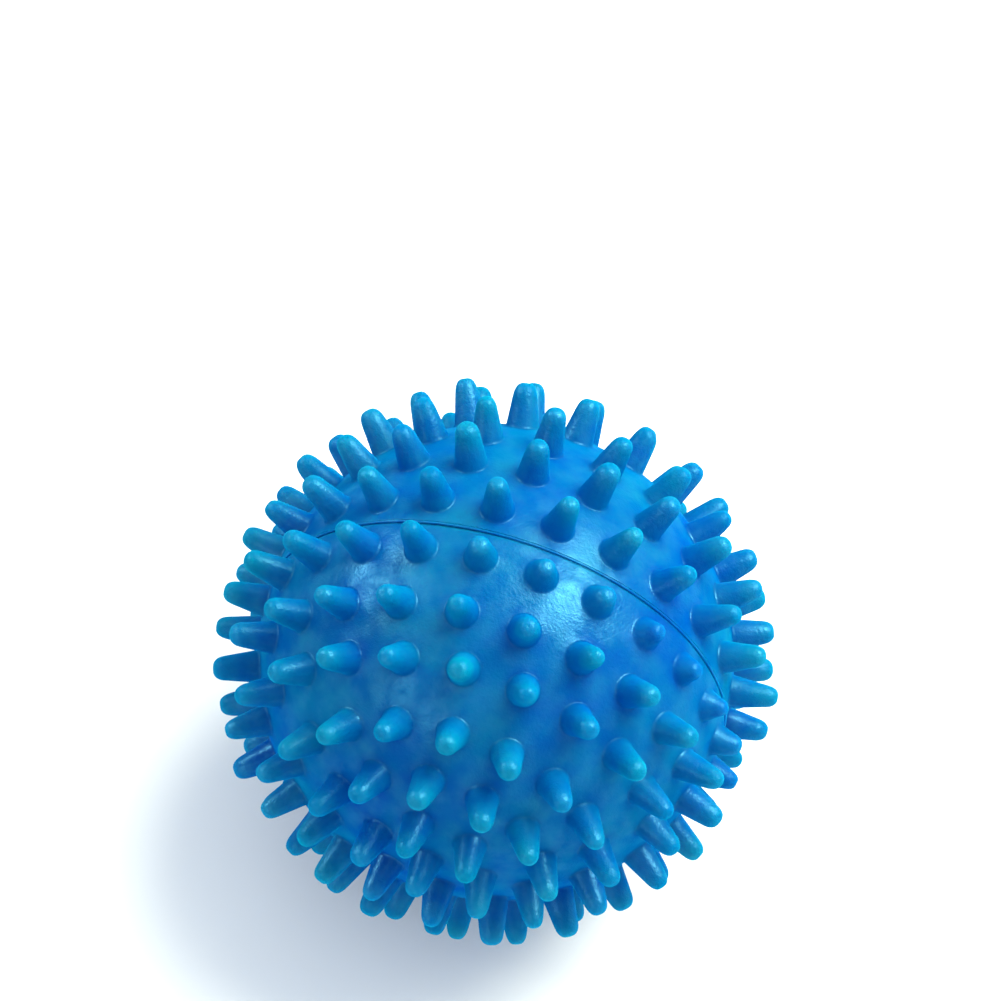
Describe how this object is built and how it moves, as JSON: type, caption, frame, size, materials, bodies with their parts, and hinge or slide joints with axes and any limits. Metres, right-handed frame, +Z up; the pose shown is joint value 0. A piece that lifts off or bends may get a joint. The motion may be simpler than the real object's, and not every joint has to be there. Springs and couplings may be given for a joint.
{
  "type": "dryer ball",
  "caption": "Hollow spiky ball of soft vinyl in two lapped half shells, tumbled with laundry in a dryer to lift and separate the fabric.",
  "frame": {"origin": "centre of the ball", "axes": "+Y along the pole axis, square to the seam, towards the rear half's pole and its vent side; +Z up, with the ball standing on the four spike tips round -Z; the seam lies in the XZ plane"},
  "size_m": [0.0688, 0.07, 0.0688],
  "materials": {
    "blue_vinyl": "satin, slightly translucent soft vinyl",
    "weld_vinyl": "satin, a little lighter than the shells"
  },
  "bodies": {
    "root": {"front_half_shell": "blue_vinyl", "rear_half_shell": "blue_vinyl", "seam_weld_bead": "weld_vinyl"}
  },
  "joints": []
}
